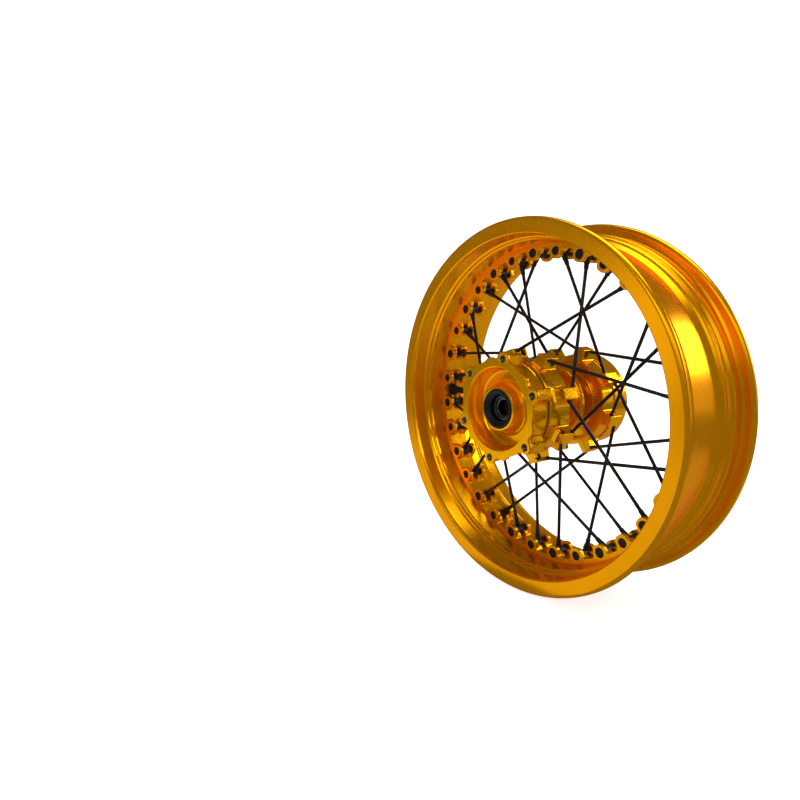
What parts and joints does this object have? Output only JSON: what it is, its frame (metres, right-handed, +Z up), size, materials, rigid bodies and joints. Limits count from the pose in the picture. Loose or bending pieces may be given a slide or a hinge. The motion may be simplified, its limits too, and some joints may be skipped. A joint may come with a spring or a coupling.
{
  "type": "spoked motorcycle wheel",
  "caption": "Tubeless spoked rear motorcycle wheel with a wide gold rim, black straight-pull spokes, a flanged hub and a separate sprocket carrier.",
  "frame": {"origin": "middle of the rim, on the axle's line", "axes": "+Y along the axle from the sprocket carrier to the far side of the hub, +Z up, and the valve near -X"},
  "size_m": [0.4632, 0.186, 0.4632],
  "materials": {
    "gold_anodised": "gold anodised, satin",
    "black_spoke": "black coated steel, satin",
    "bearing_steel": "ground",
    "rubber": "moulded",
    "black_alloy": "black anodised",
    "brass": "turned"
  },
  "bodies": {
    "axle_group": {"near_end_sleeve": "bearing_steel", "far_end_sleeve": "bearing_steel", "carrier_sleeve": "bearing_steel", "centre_sleeve": "bearing_steel", "carrier_bearing_inner_race": "bearing_steel", "hub_near_bearing_inner_race": "bearing_steel", "hub_far_bearing_inner_race": "bearing_steel"},
    "wheel": {"rim": "gold_anodised", "hub_shell": "gold_anodised", "hub_near_bearing_outer_race": "bearing_steel", "hub_far_bearing_outer_race": "bearing_steel", "hub_far_seal": "rubber", "valve_body": "black_alloy", "spoke_near_01": "black_spoke", "spoke_near_02": "black_spoke", "spoke_near_03": "black_spoke", "spoke_near_04": "black_spoke", "spoke_near_05": "black_spoke", "spoke_near_06": "black_spoke", "spoke_near_07": "black_spoke", "spoke_near_08": "black_spoke", "spoke_near_09": "black_spoke", "spoke_near_10": "black_spoke", "spoke_near_11": "black_spoke", "spoke_near_12": "black_spoke", "spoke_near_13": "black_spoke", "spoke_near_14": "black_spoke", "spoke_near_15": "black_spoke", "spoke_near_16": "black_spoke", "spoke_far_01": "black_spoke", "spoke_far_02": "black_spoke", "spoke_far_03": "black_spoke", "spoke_far_04": "black_spoke", "spoke_far_05": "black_spoke", "spoke_far_06": "black_spoke", "spoke_far_07": "black_spoke", "spoke_far_08": "black_spoke", "spoke_far_09": "black_spoke", "spoke_far_10": "black_spoke", "spoke_far_11": "black_spoke", "spoke_far_12": "black_spoke", "spoke_far_13": "black_spoke", "spoke_far_14": "black_spoke", "spoke_far_15": "black_spoke", "spoke_far_16": "black_spoke", "cush_rubber_1": "rubber", "cush_rubber_2": "rubber", "cush_rubber_3": "rubber", "cush_rubber_4": "rubber", "cush_rubber_5": "rubber", "cush_rubber_6": "rubber"},
    "carrier": {"sprocket_carrier": "gold_anodised", "carrier_bearing_outer_race": "bearing_steel", "carrier_seal": "rubber"},
    "carrier_bearing_cage": {"carrier_bearing_balls": "bearing_steel"},
    "hub_near_bearing_cage": {"hub_near_bearing_balls": "bearing_steel"},
    "hub_far_bearing_cage": {"hub_far_bearing_balls": "bearing_steel"},
    "valve_pin": {"valve_core": "brass"},
    "valve_cap": {"valve_cap": "black_alloy"}
  },
  "joints": [
    {"name": "wheel_spin", "type": "hinge", "parent": "axle_group", "child": "wheel", "pos_m": [0, 0, 0], "axis": [0, 1, 0], "continuous": true},
    {"name": "cush_twist", "type": "hinge", "parent": "wheel", "child": "carrier", "pos_m": [0, -0.08, 0], "axis": [0, 1, 0], "range_deg": [-4, 4], "stiffness_Nm_per_rad": 60},
    {"name": "carrier_bearing_roll", "type": "hinge", "parent": "axle_group", "child": "carrier_bearing_cage", "pos_m": [0, -0.079, 0], "axis": [0, 1, 0], "continuous": true},
    {"name": "hub_near_bearing_roll", "type": "hinge", "parent": "axle_group", "child": "hub_near_bearing_cage", "pos_m": [0, -0.05, 0], "axis": [0, 1, 0], "continuous": true},
    {"name": "hub_far_bearing_roll", "type": "hinge", "parent": "axle_group", "child": "hub_far_bearing_cage", "pos_m": [0, 0.07, 0], "axis": [0, 1, 0], "continuous": true},
    {"name": "valve_pin_press", "type": "slide", "parent": "wheel", "child": "valve_pin", "axis": [-0.9999, 0, -0.0154], "range_m": [0, 0.0008], "stiffness_N_per_m": 400},
    {"name": "valve_cap_turn", "type": "hinge", "parent": "wheel", "child": "valve_cap", "pos_m": [-0.17998, 0, -0.00278], "axis": [0.9999, 0, 0.0154], "range_deg": [0, 360]}
  ],
  "couplings": [
    {"joint": "carrier_bearing_roll", "follows": "wheel_spin", "ratio": 0.5889},
    {"joint": "hub_near_bearing_roll", "follows": "wheel_spin", "ratio": 0.5889},
    {"joint": "hub_far_bearing_roll", "follows": "wheel_spin", "ratio": 0.5889}
  ]
}
